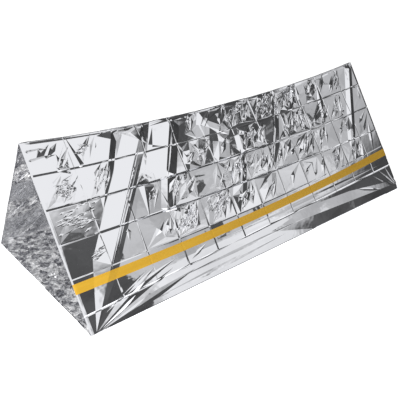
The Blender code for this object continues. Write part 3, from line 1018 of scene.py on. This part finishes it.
def outer_film():
    """Bright side of aluminised polyester: a mirror, broken up finely where it is crumpled."""
    look, tree = new_material("aluminised_film_bright_side")
    place = add_node(tree, "ShaderNodeAttribute", attribute_name="sheet_place").outputs["Vector"]
    crumple_here = add_node(tree, "ShaderNodeAttribute", attribute_name="crumple").outputs["Fac"]
    strength = add_node(tree, "ShaderNodeMath", {0: crumple_here, 1: 0.05}, operation="MULTIPLY")
    crinkle = crinkled(tree, place, BRIGHT_CRINKLE, strength.outputs[0], 0.003)
    dimples = add_node(
        tree, "ShaderNodeTexNoise", {"Vector": place, "Scale": 1 / DIMPLE, "Detail": 1.0}
    )
    bump = add_node(
        tree, "ShaderNodeBump",
        {"Height": dimples.outputs[0], "Strength": 1.0, "Distance": 0.00025, "Normal": crinkle},
    )
    metal = add_node(
        tree, "ShaderNodeBsdfPrincipled",
        {"Base Color": srgb("#e9eaee"), "Metallic": 1.0, "Normal": bump.outputs[0],
         "Roughness": hazy_roughness(tree, place, 0.015, 0.045)},
    )
    add_node(tree, "ShaderNodeOutputMaterial", {"Surface": metal.outputs[0]})
    return look


def inner_film():
    """Inner side of the film: the same metal behind milky polyester, so it shines softly.

    Where it is crumpled, pale painted highlights lie in patches between grey painted shade, which
    mirrors more.
    """
    look, tree = new_material("aluminised_film_milky_side")
    place = add_node(tree, "ShaderNodeAttribute", attribute_name="sheet_place").outputs["Vector"]
    crumple_here = add_node(tree, "ShaderNodeAttribute", attribute_name="crumple").outputs["Fac"]
    # Painted highlights and painted shade: where the film is crumpled, its base colour is pale in
    # some patches and grey in others.
    patches = add_node(
        tree, "ShaderNodeTexVoronoi",
        {"Vector": place, "Scale": 1 / PAINTED_LIGHT_PATCH, "Detail": 2.0, "Roughness": 0.75},
        normalize=True,
    )
    painted_light_share = add_node(
        tree, "ShaderNodeMapRange",
        {"Value": patches.outputs["Color"], "From Min": 0.30, "From Max": 0.70},
    )
    painted_light_tone = add_node(
        tree, "ShaderNodeMix",
        {"Factor": painted_light_share.outputs[0], 6: srgb("#909197"), 7: srgb("#fdfdfe")},
        data_type="RGBA",
    )
    tone = add_node(
        tree, "ShaderNodeMix",
        {"Factor": crumple_here, 6: srgb("#dcdde1"), 7: painted_light_tone.outputs[2]},
        data_type="RGBA", clamp_factor=True,
    )
    clearness = add_node(
        tree, "ShaderNodeMapRange", {"Value": painted_light_share.outputs[0], "To Min": 0.75, "To Max": 0.1}
    )
    metal = add_node(
        tree, "ShaderNodeMix", {"Factor": crumple_here, 2: 0.75, 3: clearness.outputs[0]},
        data_type="FLOAT", clamp_factor=True,
    )
    milky = add_node(
        tree, "ShaderNodeBsdfPrincipled",
        {"Base Color": tone.outputs[2], "Metallic": metal.outputs[0],
         "Normal": crinkled(tree, place, MILKY_CRINKLE, 0.7, 0.004),
         "Roughness": hazy_roughness(tree, place, 0.07, 0.14)},
    )
    add_node(tree, "ShaderNodeOutputMaterial", {"Surface": milky.outputs[0]})
    return look


film = (outer_film(), inner_film())
crumple = crumple_tree()


def keep_result(piece):
    """Keeps what a piece's modifiers make of it as its plain mesh."""
    done = bpy.data.meshes.new_from_object(
        piece.evaluated_get(bpy.context.evaluated_depsgraph_get())
    )
    piece.modifiers.clear()
    piece.data = done


def sheet_piece(name, chosen, lift=None, thickness=FILM_DRAWN, looks=film):
    """Piece of the sheet from the chosen triangles of the pattern, crumpled and thickened."""
    used, faces = np.unique(triangles[chosen], return_inverse=True)
    mine = places[used]
    points, out = film_place(mine[:, 0], mine[:, 1])
    mesh = bpy.data.meshes.new(name)
    mesh.from_pydata(points.tolist(), [], faces.reshape(-1, 3).tolist())
    fields = {field: values[used] for field, values in point_fields.items()}
    fields["lift"] = lift(*mine.T) if lift else np.zeros(len(used))
    for field, values in fields.items():
        mesh.attributes.new(field, "FLOAT", "POINT").data.foreach_set("value", values)
    mesh.attributes.new("number", "INT", "POINT").data.foreach_set("value", used)
    for field, values in (("sheet_place", np.column_stack([mine, 0 * used])), ("out", out)):
        data = mesh.attributes.new(field, "FLOAT_VECTOR", "POINT").data
        data.foreach_set("vector", values.ravel())
    made = place_in_scene(name, mesh)

    values = {
        "Large Facets": facet_sheet, "Crinkle Height": CRINKLE_HEIGHT,
        "Valley Depth": VALLEY_DEPTH, "Seed": CREASE_SEED, "Film": looks[0],
    }
    modifier = made.modifiers.new("crumple", "NODES")
    modifier.node_group = crumple
    for item in crumple.interface.items_tree:
        if item.in_out == "INPUT" and item.name in values:
            modifier[item.identifier] = values[item.name]
    keep_result(made)
    solid = made.modifiers.new("thickness", "SOLIDIFY")
    solid.thickness = thickness
    solid.offset = 0.0
    for look in looks[1:]:
        made.data.materials.append(look)
        solid.material_offset = 1
    keep_result(made)
    made.data.shade_flat()
    for field in (*point_fields, "lift", "number", "out"):
        if field != "crumple":
            made.data.attributes.remove(made.data.attributes[field])
    return made


# Floor film.
# The part of the sheet that lies on the ground, with the foot of the back wall. It is one with
# the rest of the sheet and only bends at the back hem.

FLOOR_START = 5 * ROW_PITCH


def bend(piece):
    """Bakes a piece's placement into its mesh."""
    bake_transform(piece)


floor_film = sheet_piece("floor_film", around_middle > FLOOR_START)
bend(floor_film)
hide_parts("floor_panel")


# Front hem film.
# The sheet's inner edge, from the front hem up behind the lap. It bends at the front wall's
# pack crease, which runs just below the tape.

lap_inner = tape_line(along_middle, LAP_WIDTH / 2)
front_hem_film = sheet_piece("front_hem_film", around_middle < lap_inner)
bend(front_hem_film)
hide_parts("front_wall_lower")


# Back wall film.
# The middle of the back wall, which bends at its pack crease and goes on into the floor film.

UPPER_END = 2 * ROW_PITCH
in_back_wall = (around_middle > UPPER_END) & (around_middle < FLOOR_START)
back_wall_film = sheet_piece("back_wall_film", in_back_wall)
bend(back_wall_film)
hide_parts("back_wall_upper", "back_wall_lower")


# Upper film.
# From two rows down the back wall, over the ridge, to the sheet's outer edge at the lap, where
# it steps out over the front hem film. It bends at the ridge.


def lap_lift(along, around):
    """The upper film steps out over the film under the lap."""
    into = tape_line(along, LAP_WIDTH / 2 + LAP_STEP) - around
    return np.clip(into / LAP_STEP, 0, 1) * LAP_LIFT


lap_outer = tape_line(along_middle, -LAP_WIDTH / 2)
in_upper = (around_middle > lap_outer) & (around_middle < UPPER_END)
upper_film = sheet_piece("upper_film", in_upper, lap_lift)
bend(upper_film)
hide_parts("front_wall_upper", "seam_lap")


# Seam tape.
# Yellow polypropylene packing tape, pressed over the lap's edge. Real streaks are under 1 mm
# wide, which is too fine to show, so they are drawn 17 mm wide.

TAPE_LIFT = 0.0012
TAPE_DRAWN = 0.0005
STREAK_LENGTH = 0.3333
STREAK_WIDTH = 0.01667


def tape_material():
    """Yellow polypropylene tape: even colour, faint streaks along it, a satin gloss."""
    look, tree = new_material("yellow_polypropylene_tape")
    place = add_node(tree, "ShaderNodeTexCoord").outputs["Object"]
    stretch = add_node(
        tree, "ShaderNodeMapping",
        {"Vector": place, "Scale": (1 / STREAK_LENGTH, 1 / STREAK_WIDTH, 1 / STREAK_WIDTH)},
    )
    streak = add_node(
        tree, "ShaderNodeTexNoise", {"Vector": stretch.outputs[0], "Scale": 1.0, "Detail": 4.0}
    )
    colour = add_node(
        tree, "ShaderNodeMix",
        {"Factor": streak.outputs[0], 6: srgb("#d3a026"), 7: srgb("#e6b83c")}, data_type="RGBA",
    )
    bump = add_node(
        tree, "ShaderNodeBump", {"Height": streak.outputs[0], "Strength": 0.3, "Distance": 0.001}
    )
    plastic = add_node(
        tree, "ShaderNodeBsdfPrincipled",
        {"Base Color": colour.outputs[2], "Roughness": 0.32, "Normal": bump.outputs[0]},
    )
    add_node(tree, "ShaderNodeOutputMaterial", {"Surface": plastic.outputs[0]})
    return look


def tape_lift(along, around):
    """The tape lies on the upper film all along."""
    return np.full_like(along, LAP_LIFT + TAPE_LIFT)


tape_low, tape_high = (tape_line(along_middle, side * TAPE_WIDTH / 2) for side in (-1, 1))
under_tape = (around_middle > tape_low) & (around_middle < tape_high)
seam_tape = sheet_piece(
    "seam_tape_strip", under_tape, tape_lift, thickness=TAPE_DRAWN, looks=(tape_material(),)
)
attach(seam_tape, "front_upper")
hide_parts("seam_tape")


# Large facet sheet.
# The sheet of large facets goes, now that every piece has read it.

bpy.data.objects.remove(facet_sheet)
